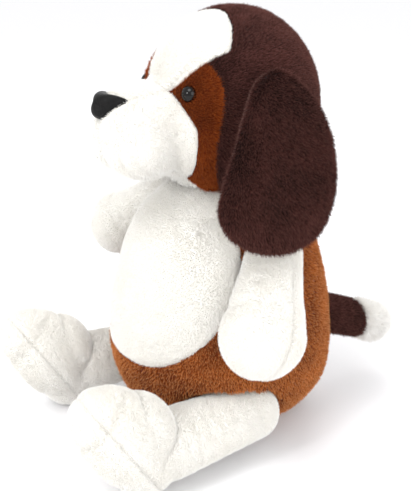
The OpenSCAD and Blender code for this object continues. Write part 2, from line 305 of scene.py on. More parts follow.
def ball(bm, centre, radii, turn=None):
    spot = Matrix.Translation(Vector(centre) * MM)
    spin = turn if turn is not None else Matrix.Identity(4)
    size = Matrix.Diagonal((*(r * MM for r in radii), 1.0))
    bmesh.ops.create_icosphere(bm, subdivisions=4, radius=1.0, matrix=spot @ spin @ size)


def stick(bm, a, ra, b, rb, steps=9):
    for i in range(steps):
        t = i / (steps - 1)
        r = ra + (rb - ra) * t
        ball(bm, np.array(a) * (1 - t) + np.array(b) * t, (r, r, r))


def one_skin(piece, voxel, smooth):
    set_modifier(piece, "REMESH", mode="VOXEL", voxel_size=voxel * MM, adaptivity=0.0)
    set_modifier(piece, "SMOOTH", factor=0.5, iterations=smooth)
    return baked(piece)


def fuse(name, build, voxel, smooth):
    bm = bmesh.new()
    build(bm)
    return one_skin(from_bmesh(name, bm), voxel, smooth)


def points(piece):
    co = np.zeros(len(piece.data.vertices) * 3)
    piece.data.vertices.foreach_get("co", co)
    return co.reshape(-1, 3) * 1000


def set_points(piece, co):
    piece.data.vertices.foreach_set("co", (np.asarray(co) * MM).ravel())
    piece.data.update()


def above(co, height):
    """Points lower than the height rise to it, so nothing sinks through the floor."""
    return np.column_stack([co[:, :2], np.maximum(co[:, 2], height)])


def normals(piece):
    no = np.zeros(len(piece.data.vertices) * 3)
    piece.data.vertex_normals.foreach_get("vector", no)
    return no.reshape(-1, 3)


def loft(name, rings):
    """A skin through stacked outlines, each a list of points; both ends are closed."""
    count = len(rings[0])
    verts = [p for ring in rings for p in ring]
    faces = []
    for r in range(len(rings) - 1):
        for i in range(count):
            j = (i + 1) % count
            a, b = r * count, (r + 1) * count
            faces.append((a + i, a + j, b + j, b + i))
    faces.append(tuple(reversed(range(count))))
    faces.append(tuple(range((len(rings) - 1) * count, len(rings) * count)))
    return mesh_object(name, verts, faces)


# %% [markdown]
# Stuffing presses cloth out between seams and the seams hold it in. A short cloth simulation
# with air pressure gives that: the sewn lines are in a group whose cloth is cut shorter, so
# they pull in and pucker. The movement is capped, so a body keeps its pattern size.

# %% Padding by simulation
PRESSURE = 4.0
SIM_FRAMES = 14
SEAM_REACH = 5.0    # how far from a seam its cloth is cut shorter, mm
FAR = 99.0          # stands for "no seam near"


def pad(piece, seams, cap, shrink=0.10, hold=None):
    """Cloth with pressure; seams are functions of points giving distance in millimetres."""
    before = points(piece)
    near = np.full(len(before), FAR)
    for seam in seams:
        near = np.minimum(near, np.abs(seam(before)))
    group = piece.vertex_groups.new(name="seam")
    for i in np.nonzero(near < SEAM_REACH)[0]:
        group.add([int(i)], float(1.0 - near[i] / SEAM_REACH), "REPLACE")
    pins = piece.vertex_groups.new(name="hold")
    if hold is not None:
        for i in np.nonzero(hold(before))[0]:
            pins.add([int(i)], 1.0, "REPLACE")
    cloth = set_modifier(piece, "CLOTH").settings
    cloth.quality = 4
    cloth.mass = 0.3
    cloth.tension_stiffness = 18
    cloth.compression_stiffness = 10
    cloth.shear_stiffness = 6
    cloth.bending_stiffness = 0.6
    cloth.use_pressure = True
    cloth.uniform_pressure_force = PRESSURE
    cloth.vertex_group_shrink = "seam"
    cloth.shrink_min = 0.0
    cloth.shrink_max = shrink
    cloth.vertex_group_mass = "hold"
    cloth.effector_weights.gravity = 0.0
    scene.frame_start, scene.frame_end = 1, SIM_FRAMES
    for step in range(1, SIM_FRAMES + 1):
        scene.frame_set(step)
    baked(piece)
    scene.frame_set(1)
    moved = points(piece) - before
    size = np.linalg.norm(moved, axis=1, keepdims=True)
    set_points(piece, before + moved * np.minimum(1.0, cap / np.maximum(size, 1e-6)))
    piece.vertex_groups.clear()
    print("padded", piece.name, "largest move", round(float(size.max()), 2), "mm")
    return piece


# %% [markdown]
# A maker cuts panels along smooth lines. Here a line is where a function of position is zero:
# vertices beside it are slid onto it, so the cut follows the line and not the mesh, then the
# skin is parted there. Each panel's edge is turned inward, as a seam allowance is, and the
# cloth dips towards the seam.

# %% Cutting a body into panels
def triangles(piece):
    bm = bmesh.new()
    bm.from_mesh(piece.data)
    bmesh.ops.triangulate(bm, faces=bm.faces)
    bm.to_mesh(piece.data)
    bm.free()
    tri = np.zeros(len(piece.data.polygons) * 3, int)
    piece.data.polygons.foreach_get("vertices", tri)
    edge = np.zeros(len(piece.data.edges) * 2, int)
    piece.data.edges.foreach_get("vertices", edge)
    return tri.reshape(-1, 3), edge.reshape(-1, 2)


def slide_to(co, edge, line):
    """The points with those next to the line moved onto it."""
    on = np.zeros(len(co), bool)
    for _ in range(3):
        value = line(co)
        value[on] = 0.0
        cross = edge[value[edge[:, 0]] * value[edge[:, 1]] < 0]
        if not len(cross):
            break
        a, b = value[cross[:, 0]], value[cross[:, 1]]
        t = a / (a - b)
        pick = np.where(t < 0.5, cross[:, 0], cross[:, 1])
        other = np.where(t < 0.5, cross[:, 1], cross[:, 0])
        share = np.where(t < 0.5, t, 1 - t)
        order = np.argsort(-share)
        target = co.copy()
        target[pick[order]] = (co[pick] + (co[other] - co[pick]) * share[:, None])[order]
        on[pick] = True
        co = target
    return co


def cut(piece, parts, dips=(), depth=1.6, width=3.0):
    """parts: list of (name, test) where the first test that is negative takes a face.
    Cloth sinks by depth at each cut and at each line in dips, over about the width."""
    tri, edge = triangles(piece)
    co = points(piece)
    lines = [line for _, line in parts if line is not None]
    for line in lines:
        co = slide_to(co, edge, line)
    set_points(piece, co)
    no = normals(piece)
    nearest = np.full(len(co), FAR)
    for line in [*lines, *dips]:
        nearest = np.minimum(nearest, np.abs(line(co)))
    sunk = co - no * (depth * np.exp(-(nearest / width) ** 2))[:, None]
    middle = co[tri].mean(1)
    left = np.ones(len(tri), bool)
    made = {}
    for name, line in parts:
        mine = left if line is None else left & (line(middle) < 0)
        left = left & ~mine
        made[name] = panel(name, sunk, no, tri[mine])
    bpy.data.objects.remove(piece)
    return made


HEM = 2.2           # how far a panel's edge is turned in, mm


def panel(name, co, no, tri):
    used, where = np.unique(tri.ravel(), return_inverse=True)
    tri = where.reshape(-1, 3)
    pts, out = co[used], no[used]
    sides = np.concatenate([tri[:, [0, 1]], tri[:, [1, 2]], tri[:, [2, 0]]])
    pair = {(a, b) for a, b in sides}
    rim = [(a, b) for a, b in sides if (b, a) not in pair]
    rim_points = sorted({a for e in rim for a in e})
    under = {v: len(pts) + i for i, v in enumerate(rim_points)}
    all_pts = np.concatenate([pts, pts[rim_points] - out[rim_points] * HEM])
    faces = [tuple(f) for f in tri] + [(b, a, under[a], under[b]) for a, b in rim]
    piece = mesh_object(name, all_pts, faces)
    smooth_shaded(piece)
    piece["skin_faces"] = len(tri)
    print("panel", name, len(tri), "triangles")
    return piece


def outline_distance(pts):
    """Signed distance to a closed outline, negative inside, as a function of two arrays."""
    pts = np.array(pts, float)
    ends = np.roll(pts, -1, axis=0)

    def distance(u, v):
        p = np.stack([u, v], -1)[:, None, :]
        run = ends - pts
        t = np.clip(((p - pts) * run).sum(-1) / (run ** 2).sum(-1), 0, 1)
        gap = np.linalg.norm(p - (pts + t[..., None] * run), axis=-1).min(1)
        a, b = pts[None], ends[None]
        straddle = (a[..., 1] > p[..., 1]) != (b[..., 1] > p[..., 1])
        rise = np.where(b[..., 1] == a[..., 1], 1e-9, b[..., 1] - a[..., 1])
        at = a[..., 0] + (p[..., 1] - a[..., 1]) / rise * (b[..., 0] - a[..., 0])
        inside = (straddle & (p[..., 0] < at)).sum(-1) % 2 == 1
        return np.where(inside, -gap, gap)
    return distance


def rounded(pts, times=2):
    """Cuts the corners of an outline, so a cut line has no sharp turns."""
    pts = np.array(pts, float)
    for _ in range(times):
        ahead = np.roll(pts, -1, axis=0)
        pts = np.stack([pts * 0.75 + ahead * 0.25, pts * 0.25 + ahead * 0.75], 1).reshape(-1, 2)
    return pts


# %% [markdown]
# The pile is real geometry: thousands of thin three-sided fibres scattered over a panel by
# geometry nodes. Each fibre leans along the "comb" direction stored on the skin, with some
# scatter, so the nap lies the way a hand would brush it. Length, density and width are the
# named inputs, and the seed is fixed so the result is always the same.

# %% Growing pile with geometry nodes
def pile_nodes():
    tree = bpy.data.node_groups.new("pile", "GeometryNodeTree")
    face = tree.interface
    face.new_socket("Geometry", in_out="INPUT", socket_type="NodeSocketGeometry")
    for label, kind in (("Density", "Float"), ("Length", "Float"), ("Width", "Float"),
                        ("Lean", "Float"), ("Scatter", "Float"), ("Seed", "Int"),
                        ("Material", "Material")):
        face.new_socket(label, in_out="INPUT", socket_type="NodeSocket" + kind)
    face.new_socket("Geometry", in_out="OUTPUT", socket_type="NodeSocketGeometry")
    new, link = tree.nodes.new, tree.links.new

    def add(kind, settings=None, inputs=None):
        node = new(kind)
        for key, value in (settings or {}).items():
            setattr(node, key, value)
        for key, value in (inputs or {}).items():
            slot = node.inputs[key]
            if isinstance(value, bpy.types.NodeSocket):
                link(value, slot)
            else:
                slot.default_value = value
        return node

    given = new("NodeGroupInput").outputs
    scatter = add("GeometryNodeDistributePointsOnFaces", {"distribute_method": "RANDOM"},
                  {"Mesh": given["Geometry"], "Density": given["Density"],
                   "Seed": given["Seed"]})
    comb = add("GeometryNodeInputNamedAttribute", {"data_type": "FLOAT_VECTOR"},
               {"Name": "comb"})
    fibre = add("GeometryNodeMeshCone", {"fill_type": "NONE"},
                {"Vertices": 3, "Side Segments": 1, "Radius Top": 0.0, "Radius Bottom": 1.0,
                 "Depth": 1.0})
    height = add("ShaderNodeSeparateXYZ", None,
                 {"Vector": add("GeometryNodeInputPosition").outputs[0]})
    tipped = add("GeometryNodeStoreNamedAttribute", {"data_type": "FLOAT", "domain": "POINT"},
                 {"Geometry": fibre.outputs["Mesh"], "Name": "tip",
                  "Value": height.outputs["Z"]})
    sampled = add("GeometryNodeStoreNamedAttribute",
                  {"data_type": "FLOAT_VECTOR", "domain": "POINT"},
                  {"Geometry": scatter.outputs["Points"], "Name": "way",
                   "Value": comb.outputs["Attribute"]})
    jitter = add("FunctionNodeRandomValue", {"data_type": "FLOAT_VECTOR"},
                 {"Min": (-1, -1, -1), "Max": (1, 1, 1), "Seed": 3})
    clump = add("ShaderNodeTexNoise", {"noise_dimensions": "3D"},
                {"Vector": add("GeometryNodeInputPosition").outputs[0], "Scale": 130.0,
                 "Detail": 2.0})
    centred = add("ShaderNodeVectorMath", {"operation": "SUBTRACT"},
                  {0: clump.outputs["Color"], 1: (0.5, 0.5, 0.5)})
    clumped = add("ShaderNodeVectorMath", {"operation": "SCALE"},
                  {0: centred.outputs[0], "Scale": 3.0})
    both = add("ShaderNodeVectorMath", {"operation": "ADD"},
               {0: clumped.outputs[0], 1: jitter.outputs["Value"]})
    loose = add("ShaderNodeVectorMath", {"operation": "SCALE"},
                {0: both.outputs[0], "Scale": given["Scatter"]})
    nap = add("ShaderNodeVectorMath", {"operation": "SCALE"},
              {0: comb.outputs["Attribute"], "Scale": given["Lean"]})
    lean = add("ShaderNodeVectorMath", {"operation": "ADD"},
               {0: nap.outputs[0], 1: loose.outputs[0]})
    way = add("ShaderNodeVectorMath", {"operation": "ADD"},
              {0: lean.outputs[0], 1: scatter.outputs["Normal"]})
    turn = add("FunctionNodeAlignRotationToVector", {"axis": "Z"},
               {"Vector": way.outputs[0]})
    longer = add("FunctionNodeRandomValue", {"data_type": "FLOAT"},
                 {"Min": 0.65, "Max": 1.15, "Seed": 5})
    tall = add("ShaderNodeMath", {"operation": "MULTIPLY"},
               {0: given["Length"], 1: longer.outputs["Value"]})
    size = add("ShaderNodeCombineXYZ", None,
               {"X": given["Width"], "Y": given["Width"], "Z": tall.outputs[0]})
    tone = add("FunctionNodeRandomValue", {"data_type": "FLOAT"},
               {"Min": 0.0, "Max": 1.0, "Seed": 9})
    grown = add("GeometryNodeInstanceOnPoints", None,
                {"Points": sampled.outputs["Geometry"], "Instance": tipped.outputs["Geometry"],
                 "Rotation": turn.outputs["Rotation"], "Scale": size.outputs[0]})
    toned = add("GeometryNodeStoreNamedAttribute", {"data_type": "FLOAT", "domain": "INSTANCE"},
                {"Geometry": grown.outputs["Instances"], "Name": "tone",
                 "Value": tone.outputs["Value"]})
    real = add("GeometryNodeRealizeInstances", None, {"Geometry": toned.outputs["Geometry"]})
    coloured = add("GeometryNodeSetMaterial", None,
                   {"Geometry": real.outputs["Geometry"], "Material": given["Material"]})
    link(coloured.outputs["Geometry"], new("NodeGroupOutput").inputs["Geometry"])
    return tree


PILE = pile_nodes()


def grow(skin, kind, length, per_mm2, width, lean, scatter, seed, comb):
    """A pile piece for a panel. comb gives the nap's direction at each point."""
    faces = skin["skin_faces"]
    bare = bpy.data.objects.new(skin.name + "_pile", skin.data.copy())
    scene.collection.objects.link(bare)
    bm = bmesh.new()
    bm.from_mesh(bare.data)
    bm.faces.ensure_lookup_table()
    bmesh.ops.delete(bm, geom=bm.faces[faces:], context="FACES")
    bm.to_mesh(bare.data)
    bm.free()
    co, no = points(bare), normals(bare)
    way = comb(co)
    way = way - no * (way * no).sum(1, keepdims=True)
    way /= np.maximum(np.linalg.norm(way, axis=1, keepdims=True), 1e-6)
    store = bare.data.attributes.new("comb", "FLOAT_VECTOR", "POINT")
    store.data.foreach_set("vector", way.ravel())
    mod = set_modifier(bare, "NODES", node_group=PILE)
    wanted = {"Density": per_mm2 * 1e6, "Length": length * MM, "Width": width * MM,
              "Lean": lean, "Scatter": scatter, "Seed": seed, "Material": pile_mat[kind]}
    for item in PILE.interface.items_tree:
        if item.in_out == "INPUT" and item.name in wanted:
            mod[item.identifier] = wanted[item.name]
    baked(bare)
    print("pile on", skin.name, len(bare.data.polygons), "faces")
    return bare


# %% [markdown]
# The head is a stuffed ball with a muzzle sewn on the front. The muzzle's cloth starts a little
# behind where the two balls meet, so the ball's own front belongs to the white panels. Cheeks
# and brow are small lumps of stuffing. Under the head the cloth is pushed clear of the neck,
# so the head can turn on it.

# %% Head body
def head_lumps(bm):
    ball(bm, head_c + (0, 2, 0), (head_r, head_r * 0.93, head_r))
    ball(bm, head_c + (0, -8, -18), (head_r * 0.97, head_r * 0.90, head_r * 0.72))
    for x in (-1, 1):
        ball(bm, head_c + (30 * x, -27, 10), (34, 31, 33))
        ball(bm, head_c + (14 * x, -muzzle_reach - 3, -26), (27, 35, 27))
    stick(bm, head_c + (0, -44, -13), 40, head_c + (0, -muzzle_reach - 1, -15), 38)
    ball(bm, head_c + (0, -muzzle_reach - 13, -6), (30, 25, 26))


def clear_of(co, centre, radius):
    """Points inside the ball move straight out to its surface."""
    away = co - centre
    size = np.linalg.norm(away, axis=1, keepdims=True)
    return np.where(size < radius, centre + away / np.maximum(size, 1e-6) * radius, co)


DOME_R = 70.5       # the torso's dome round the neck pivot
CLEAR_R = 73.0      # the hollow under the head that turns on it
head = fuse("head_form", head_lumps, voxel=3.0, smooth=14)
set_points(head, clear_of(points(head), neck, CLEAR_R))


# %% [markdown]
# Each seam on the head is one function. The blaze is widest above the eyes and runs to a seam
# across the crown; the eye patches fill the space between blaze, muzzle and ear; the chin is a
# narrow strip under the muzzle; what is left is split down the back into two sides.

# %% Head seams
def muzzle_seam(co):
    x, y, z = (co - head_c).T
    return y - np.interp(z, [-50, -30, -9, 5, 15, 21, 30], [-55, -58, -58, -62, -66, -71, -80])


def blaze_seam(co):
    x, y, z = (co - head_c).T
    half = np.interp(z, [0, 14, 21, 30, 39, 46, 53], [8, 17, 25, 33, 40, 47, 54])
    crown = np.interp(np.abs(x), [0, 15, 34, 44, 54], [-10, -12, -18, -24, -34])
    return np.maximum(np.maximum(np.abs(x) - half, y - crown), 2 - z)


def chin_seam(co):
    x, y, z = (co - head_c).T
    return np.maximum(np.maximum(np.abs(x) - 25, z + 20), y + 24)


patch_shape = outline_distance(rounded([(12, 2), (20, 16), (34, 34), (46, 42), (62, 38), (74, 28),
                                        (77, 12), (73, -10), (70, -28), (68, -80), (24, -80),
                                        (30, -48)]))


def patch_seam(co):
    """The patch is drawn on the unrolled head: distance round it from the front, and height."""
    x, y, z = (co - head_c).T
    return patch_shape(np.abs(np.arctan2(x, -y)) * head_r, z)


def middle_seam(co):
    return co[:, 0] - head_c[0]


def right_half(line):
    return lambda co: np.maximum(line(co), co[:, 0])


def left_half(line):
    return lambda co: np.maximum(line(co), -co[:, 0])


pad(head, (muzzle_seam, blaze_seam, chin_seam, patch_seam), cap=2.5,
    hold=lambda co: np.linalg.norm(co - neck, axis=1) < CLEAR_R + 3)
head_skin = points(head)
head_panels = cut(head, [("muzzle_cloth", muzzle_seam), ("blaze_cloth", blaze_seam),
                         ("chin_cloth", chin_seam),
                         ("patch_cloth_left", left_half(patch_seam)),
                         ("patch_cloth_right", right_half(patch_seam)),
                         ("head_cloth_left", lambda co: -middle_seam(co)),
                         ("head_cloth_right", None)])

# %% [markdown]
# The eyes are polished domes set in small sockets, so fur closes round their rims. The nose
# is a moulded triangle with round corners, broad at the top, crowned in the middle, with two
# shallow nostrils pressed in below.

# %% Eyes and nose
def surface_spot(skin, centre, look):
    """Where a line from the centre leaves the skin."""
    rel = skin - centre
    along = rel @ look
    off = np.linalg.norm(rel - np.outer(along, look), axis=1)
    near = (off < 4.0) & (along > 0)
    return centre + look * along[near].mean()


def dome(name, centre, out, radius, flat=0.78):
    """A ball a little flatter along the way it looks."""
    turn = Vector(out).to_track_quat("Z", "Y").to_matrix().to_4x4()
    bm = bmesh.new()
    ball(bm, centre, (radius, radius, radius * flat), turn)
    bmesh.ops.recalc_face_normals(bm, faces=bm.faces)
    piece = from_bmesh(name, bm)
    smooth_shaded(piece)
    return piece


CORNERS = 0.16      # how far the nose's outline is from an ellipse, towards a triangle
NOSTRIL = 2.2       # how deep each nostril is pressed, mm
SWEEP = 0.035       # how the nose's sides sweep back round the muzzle, per mm


def nose_mesh(centre, tilt, wide, tall, deep, rounds=24, around=64):
    """Rings of a rounded triangle that shrink towards a crowned front."""
    cross = np.array([1, 0, 0])
    out = np.array([0, -math.cos(tilt), math.sin(tilt)])
    up = np.array([0, math.sin(tilt), math.cos(tilt)])
    rings = []
    for t in np.linspace(-0.75, 1.0, rounds):
        shrink = max(math.sqrt(max(0.0, 1 - abs(t) ** 2.6)), 0.02)
        ring = []
        for i in range(around):
            a = 2 * math.pi * i / around
            r = 1 / (1 + CORNERS * math.cos(3 * (a - math.pi / 2)))
            x, v = r * math.cos(a) * wide / 2, r * math.sin(a) * tall / 2
            ring.append(centre + cross * x * shrink + up * v * shrink + out * t * deep)
        rings.append(ring)
    piece = loft("nose_tip", rings)
    bm = bmesh.new()
    bm.from_mesh(piece.data)
    bmesh.ops.recalc_face_normals(bm, faces=bm.faces)
    bm.to_mesh(piece.data)
    bm.free()
    co = points(piece)
    for side in (-1, 1):
        spot = centre + cross * side * wide * 0.2 - up * tall * 0.16 + out * deep
        near = np.exp(-((co - spot) ** 2).sum(1) / 7.0)
        co = co - out * (near * NOSTRIL)[:, None]
    co[:, 1] += SWEEP * co[:, 0] ** 2
    set_points(piece, co)
    smooth_shaded(piece)
    set_modifier(piece, "SUBSURF", levels=1, render_levels=1)
    return baked(piece)


# %% [markdown]
# The torso is a pear: a broad bottom that sits flat, a round belly and a dome that the head
# turns on. It is lofted from outlines at several heights. Where an arm swings or a leg lies,
# the cloth is pressed in, which leaves the beds that the limbs rest in.

# %% Torso body
# height, half width, front and back of each outline
TORSO = [(0, 38, -44, 66), (5, 47, -57, 79), (13, 56, -68, 89), (27, 69, -80, 97),
         (42, 81, -89, 101), (60, 91, -96, 102), (85, 98, -101, 102), (120, 97, -98, 98),
         (150, 91, -91, 92), (175, 83, -84, 85), (192, 75, -76, 76), (204, 66, -66, 66),
         (212, 57, -57, 57),
         (222, 47, -47, 47), (232, 33, -33, 33), (237, 21, -21, 21), (239.5, 6, -6, 6)]


def torso_rings(count=72):
    heights = np.array([r[0] for r in TORSO], float)
    fine = np.concatenate([np.linspace(a, b, 4, endpoint=False)
                           for a, b in zip(heights, heights[1:])] + [heights[-1:]])
    sizes = [np.interp(fine, heights, [r[k] for r in TORSO]) for k in (1, 2, 3)]
    rings = []
    for z, wide, front, back in zip(fine, *sizes):
        power = 2 / (2.0 + 0.35 * max(0.0, 1 - z / 90))   # squarer towards the seat
        ring = []
        for i in range(count):
            a = 2 * math.pi * i / count
            c, s = math.cos(a), math.sin(a)
            ring.append((wide * math.copysign(abs(c) ** power, c),
                         (front + back) / 2 + (back - front) / 2
                         * math.copysign(abs(s) ** power, s), z))
        rings.append(ring)
    return rings


def turn_x(co, centre, degrees):
    a = math.radians(degrees)
    y, z = (co - centre)[:, 1], (co - centre)[:, 2]
    out = co.copy()
    out[:, 1] = centre[1] + y * math.cos(a) - z * math.sin(a)
    out[:, 2] = centre[2] + y * math.sin(a) + z * math.cos(a)
    return out


def inside_limb(co, a, ra, b, rb):
    """Depth inside a tapered stick, positive inside."""
    run = b - a
    t = np.clip((co - a) @ run / (run @ run), 0, 1)
    return ra + (rb - ra) * t - np.linalg.norm(co - (a + t[:, None] * run), axis=1)


def press_in(co, sign, inside):
    """Moves points towards the middle, sideways, until they leave the limb."""
    co = co.copy()
    for _ in range(50):
        deep = inside(co)
        hit = (deep > 0) & (co[:, 0] * sign > 20)
        if not hit.any():
            break
        co[hit, 0] -= sign * np.clip(deep[hit], 0.4, 2.0)
    return co


foot_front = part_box("leg_cover_left")[0][1] * 1000
heel = {s: np.array([x * 84.0, foot_front + 65.3, 35]) for s, x in (("left", 1), ("right", -1))}
hips = {"left": hip, "right": hip * (-1, 1, 1)}
shoulders = {"left": shoulder, "right": shoulder * (-1, 1, 1)}

torso = one_skin(loft("torso_form", torso_rings()), voxel=3.2, smooth=10)
co = points(torso)
for side, sign in (("left", 1), ("right", -1)):
    co = press_in(co, sign, lambda p: inside_limb(p, hips[side], 27, heel[side], 36))
    swing = paws[side] - shoulders[side]
    for angle in range(-34, 29, 6):     # the arm's swing, forward and back
        limb = turn_x(np.array([paws[side]]), shoulders[side], angle)[0]
        co = press_in(co, sign, lambda p: inside_limb(p, shoulders[side], 24, limb, 34.5))
set_points(torso, co)
print("torso", len(co), "points")

# %% [markdown]
# The white belly panel is drawn on the unrolled cloth: across it the distance round the body
# from the front, up it the height. It narrows under the chin and widens at the waist.

# %% Torso seams
belly_shape = outline_distance(rounded([(-20, 83), (0, 83), (34, 84), (60, 91), (82, 106),
                                        (99, 122), (112, 140), (122, 158), (127, 180),
                                        (123, 206), (112, 245), (-20, 245)], 1))


ARC_PER_DEGREE = 1.73


def belly_seam(co):
    across = np.abs(np.degrees(np.arctan2(co[:, 0], -co[:, 1]))) * ARC_PER_DEGREE
    return belly_shape(across, co[:, 2])


def base_seam(co):
    return co[:, 2] - 7.0


def back_seam(co):
    return np.where(co[:, 1] > 0, co[:, 0], FAR)


pad(torso, (belly_seam, base_seam, back_seam), cap=2.0, shrink=0.08,
    hold=lambda co: (co[:, 2] < 10) | (np.linalg.norm(co - neck, axis=1) < 71))
co = points(torso)
away = np.linalg.norm(co - neck, axis=1, keepdims=True)
on_dome = co[:, 2:3] > 214
co = np.where(on_dome & (away > DOME_R), neck + (co - neck) / away * DOME_R, co)
set_points(torso, above(co, 0.3))
torso_panels = cut(torso, [("base_cloth", base_seam), ("belly_cloth", belly_seam),
                           ("back_cloth", None)], dips=[back_seam])

# %% [markdown]
# An ear is a flat padded bag: a thick long-pile outside and a thinner lining that shows as a
# lighter rim round the edge. Its outline is drawn once, turned into a pillow, then bent round
# the head so the lower lobe swings forward.

# %% Ears
EAR = rounded([(-24, -3), (-9, -6), (7, 4), (21, 22), (29, 42), (31, 66), (25, 92), (15, 114),
               (-1, 130), (-22, 138), (-48, 138), (-66, 131), (-80, 117), (-84, 100),
               (-76, 78), (-62, 52), (-48, 26), (-36, 6)], 2)
EAR_OUT = math.radians(21)
EAR_BACK = {"left": 0.0, "right": 0.36}     # the right ear hangs further back


def ear_frame(side):
    sign = 1 if side == "left" else -1
    root = ear_root * (sign, 1, 1)
    down = np.array([sign * math.sin(EAR_OUT), 0, -math.cos(EAR_OUT)])
    out = np.array([sign * math.cos(EAR_OUT), 0, math.sin(EAR_OUT)])
    return root, down, out, sign


def ear_bend(slant, s):
    """How far the ear curls from a flat sheet; s is the distance down it."""
    return 5.0 - ((slant + 20) / 60) ** 2 * 7.0 + (s / 140) ** 2 * 2.0


def outline_gradient(edge, flat):
    u, v = flat.T
    grad = np.stack([edge(u + 0.5, v) - edge(u - 0.5, v), edge(u, v + 0.5) - edge(u, v - 0.5)], 1)
    return grad / np.maximum(np.linalg.norm(grad, axis=1, keepdims=True), 1e-6)


def ear_body(side, step=2.6, half=9.0, rim=26):
    """A pillow of the ear's outline: half is its half thickness, reached rim mm from the edge."""
    root, down, out, sign = ear_frame(side)
    shape = np.array(EAR)
    shape = shape + np.outer(shape[:, 1], (EAR_BACK[side], 0))
    edge = outline_distance(shape)
    ys = np.arange(-92, 86, step)
    ss = np.arange(-14, 148, step)
    Y, S = np.meshgrid(ys, ss, indexing="ij")
    inside = -edge(Y.ravel(), S.ravel()).reshape(Y.shape)
    keep = inside > -step * 0.75
    index = -np.ones(Y.shape, int)
    index[keep] = np.arange(keep.sum())
    gap = np.clip(inside[keep], 0.0, None)
    swell = half * np.sqrt(np.clip(1 - (1 - np.clip(gap / rim, 0, 1)) ** 2, 0, 1))
    flat = np.stack([Y[keep], S[keep]], 1)
    grad = outline_gradient(edge, flat)
    flat = flat - grad * np.clip(-inside[keep], 0, None)[:, None]
    count = keep.sum()
    bend = ear_bend(flat[:, 0] - EAR_BACK[side] * flat[:, 1], flat[:, 1])
    pts = []
    for layer in (1, -1):
        lift = bend + layer * np.maximum(swell, 0.25) * (1.15 if layer > 0 else 0.75)
        pts.append(root + np.outer(flat[:, 0], (0, 1, 0)) + np.outer(flat[:, 1], down)
                   + np.outer(lift, out))
    faces = []
    quad = (index[:-1, :-1] >= 0) & (index[1:, :-1] >= 0) & (index[1:, 1:] >= 0) \
        & (index[:-1, 1:] >= 0)
    for i, j in np.argwhere(quad):
        a, b, c, d = index[i, j], index[i + 1, j], index[i + 1, j + 1], index[i, j + 1]
        faces.append((a, d, c, b) if sign > 0 else (a, b, c, d))
        low = [v + count for v in (a, b, c, d)]
        faces.append(tuple(low) if sign > 0 else tuple(reversed(low)))
    sides = {}
    for f in faces[::2]:
        for a, b in zip(f, f[1:] + f[:1]):
            sides[(a, b)] = True
    for a, b in [e for e in sides if (e[1], e[0]) not in sides]:
        faces.append((b, a, a + count, b + count))
    piece = mesh_object("ear_form_" + side, np.concatenate(pts), faces)
    return one_skin(piece, voxel=2.6, smooth=6)


def ear_split(side):
    root, down, out, sign = ear_frame(side)

    def line(co):
        rel = co - root
        y, s, lift = rel[:, 1], rel @ down, rel @ out
        return lift - ear_bend(y - EAR_BACK[side] * s, s) - 0.5
    return line


ears = {}
for side in ("left", "right"):
    body = ear_body(side)
    line = ear_split(side)
    pad(body, (line,), cap=2.5, shrink=0.12)
    ears.update(cut(body, [("ear_lining_cloth_" + side, line), ("ear_cloth_" + side, None)]))

# %% [markdown]
# Arms and legs are stuffed tubes that widen to a paw. The legs end in a foot whose sole is a
# flat oval panel with a pointed toe and heel, sewn round its rim.

# %% Arms
def arm_lumps(side):
    a, b = shoulders[side], paws[side]

    def build(bm):
        stick(bm, a, 21.5, b, 31.5, 8)
        ball(bm, b + (0, -3, -1), (31.5, 32.5, 32))
    return build


def arm_seam(side):
    a, b = shoulders[side], paws[side]
    run = (b - a) / np.linalg.norm(b - a)
    back = np.cross(run, (1, 0, 0))
    back /= np.linalg.norm(back)
    return lambda co: (co - a) @ back * (1 if back[1] > 0 else -1) - 2.0


limbs = {}
for side in ("left", "right"):
    body = fuse("arm_form_" + side, arm_lumps(side), voxel=2.8, smooth=8)
    seam = arm_seam(side)
    pad(body, (seam,), cap=2.0, shrink=0.10)
    limbs.update(cut(body, [("arm_cloth_" + side, None)], dips=[seam], depth=2.0, width=2.4))


# %% [markdown]
# The foot is a plump half moon. Its sole panel wraps the whole front, and where the seam
# ends at toe and heel the cloth is drawn out to a small point.

# %% Legs and feet
SOLE_TILT = math.radians(32.5)
SOLE_OUT = np.array([0, -math.cos(SOLE_TILT), -math.sin(SOLE_TILT)])
SOLE_UP = np.array([0, -math.sin(SOLE_TILT), math.cos(SOLE_TILT)])
foot_mid = {s: heel[s] + (0, -10, 19) for s in heel}
FOOT = (34.0, 32.0, 50.0)
TIP_REACH, TIP_OUT = 55.0, 5.0


def leg_lumps(side):
    h, a, m = hips[side], heel[side], foot_mid[side]
    turn = Matrix(((1, 0, 0), tuple(SOLE_OUT), tuple(SOLE_UP))).transposed().to_4x4()

    def build(bm):
        stick(bm, h, 23.5, a + (0, 12, 1), 29, 9)
        ball(bm, m, FOOT, turn)
        ball(bm, m + (0, 9, 0), (31, 33, 36))
        for way in (-1, 1):
            stick(bm, m + SOLE_UP * way * 34 + SOLE_OUT * 4, 24,
                  m + SOLE_UP * way * (TIP_REACH - 4) + SOLE_OUT * TIP_OUT, 5.5, 10)
    return build


def sole_place(co, side):
    rel = co - foot_mid[side]
    return rel[:, 0], rel @ SOLE_UP, rel @ SOLE_OUT


def sole_seam(side):
    return lambda co: TIP_OUT + 1.0 - sole_place(co, side)[2]


for side in ("left", "right"):
    body = fuse("leg_form_" + side, leg_lumps(side), voxel=2.4, smooth=4)
    set_points(body, above(points(body), 0.7))
    pad(body, (sole_seam(side),), cap=2.0, shrink=0.10)
    set_points(body, above(points(body), 0.7))
    limbs.update(cut(body, [("sole_cloth_" + side, sole_seam(side)),
                            ("leg_cloth_" + side, None)], depth=1.4))

# %% [markdown]
# The tail is a short dark sleeve with a fluffy white tip. It is so small that
# the simulation would not change it.

# %% Tail
tail_end = np.array([0.0, tail_high[1] - 17, tail_low[2] + 17])


